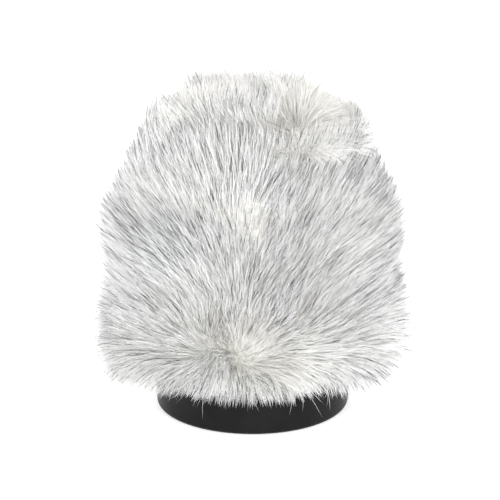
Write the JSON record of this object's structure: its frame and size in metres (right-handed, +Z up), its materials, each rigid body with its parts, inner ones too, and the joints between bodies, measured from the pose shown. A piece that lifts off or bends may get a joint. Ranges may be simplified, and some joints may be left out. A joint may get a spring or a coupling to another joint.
{
  "type": "furry windscreen",
  "caption": "Furry slip-on windscreen for a short shotgun microphone: long-pile cover over a foam-wrapped lattice cage on a moulded base ring with a grommet.",
  "frame": {"origin": "centre of the base ring's flat underside, where the windscreen stands", "axes": "+Z up along the microphone's axis, towards the crown; +Y towards the cover's upright seam at the back"},
  "size_m": [0.1232, 0.1232, 0.138],
  "materials": {
    "ring_rubber": "satin",
    "moulded_plastic": "matte",
    "grommet_rubber": "matte",
    "screw_steel": "satin",
    "cage_plastic": "matte",
    "foam": "matte",
    "knit_backing": "matte",
    "binding": "matte",
    "elastic": "matte",
    "thread": "matte",
    "fur": "matte"
  },
  "bodies": {
    "core": {"base_ring": "ring_rubber", "base_plate": "moulded_plastic", "mic_grommet": "grommet_rubber", "grommet_retainer": "moulded_plastic", "retainer_screws": "screw_steel", "cage_tube": "cage_plastic", "cage_cap": "cage_plastic", "nose_pad": "foam", "base_foam": "foam", "foam_sleeve": "foam", "foam_end_cap": "foam"},
    "fur_cover": {"side_backing": "knit_backing", "crown_backing": "knit_backing", "hem_tape": "binding", "hem_elastic": "elastic", "hem_stitches": "thread", "back_seam_tape": "binding", "back_seam_stitches": "thread", "crown_seam_stitches": "thread", "side_fur_pile": "fur", "crown_fur_pile": "fur", "hem_fur_pile": "fur"}
  },
  "joints": [
    {"name": "cover_pull_off", "type": "slide", "parent": "core", "child": "fur_cover", "axis": [0, 0, 1], "range_m": [0, 0.12]}
  ]
}
